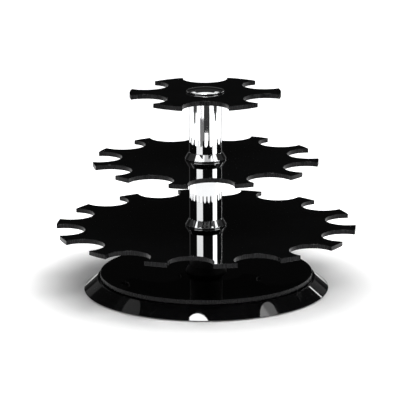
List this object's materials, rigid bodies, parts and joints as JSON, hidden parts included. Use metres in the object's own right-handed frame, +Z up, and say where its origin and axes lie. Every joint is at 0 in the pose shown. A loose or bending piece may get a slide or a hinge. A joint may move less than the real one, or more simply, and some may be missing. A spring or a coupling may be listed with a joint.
{
  "type": "coffee capsule stand",
  "caption": "Turning stand that holds coffee capsules by their rims in the notches of flat round tiers, on a chrome column over a low conical base.",
  "frame": {"origin": "on the surface that the stand rests on, at the axis that the carousel turns about", "axes": "+Z up along the column, -Y towards the front, +X to the right as seen from the front"},
  "size_m": [0.2, 0.1998, 0.1368],
  "materials": {
    "gloss_black_acrylic": "polished black acrylic sheet",
    "black_base_plastic": "fine matt moulded plastic",
    "satin_black": "satin black coating",
    "chrome": "bright chrome plate",
    "plug_plastic": "turned plastic",
    "foot_rubber": "soft matt rubber",
    "race_aluminium": "turned aluminium",
    "zinc_steel": "bright zinc plate",
    "cage_nylon": "natural nylon"
  },
  "bodies": {
    "base": {"base_skirt": "gloss_black_acrylic", "base_plate": "black_base_plastic", "rubber_feet": "foot_rubber", "outer_race": "race_aluminium", "outer_race_screws": "zinc_steel"},
    "cage": {"ball_cage": "cage_nylon", "bearing_balls": "zinc_steel"},
    "carousel": {"inner_race": "race_aluminium", "inner_race_screws": "zinc_steel", "turntable_disc": "gloss_black_acrylic", "rod_washer": "zinc_steel", "rod_nut": "zinc_steel", "tie_rod": "zinc_steel", "lower_tube": "satin_black", "lower_tube_foot_plug": "plug_plastic", "lower_tube_top_plug": "plug_plastic", "lower_collar": "satin_black", "low_tier": "gloss_black_acrylic", "middle_tube": "chrome", "middle_tube_foot_plug": "plug_plastic", "middle_tube_top_plug": "plug_plastic", "middle_collar": "chrome", "middle_tier": "gloss_black_acrylic", "upper_tube": "chrome", "upper_tube_foot_plug": "plug_plastic", "upper_tube_top_plug": "plug_plastic", "upper_collar": "chrome", "top_tier": "gloss_black_acrylic", "top_cap": "chrome"}
  },
  "joints": [
    {"name": "turntable_spin", "type": "hinge", "parent": "base", "child": "carousel", "pos_m": [0, 0, 0.0058], "axis": [0, 0, 1], "continuous": true},
    {"name": "cage_spin", "type": "hinge", "parent": "base", "child": "cage", "pos_m": [0, 0, 0.0058], "axis": [0, 0, 1], "continuous": true}
  ],
  "couplings": [
    {"joint": "cage_spin", "follows": "turntable_spin", "ratio": 0.49}
  ]
}
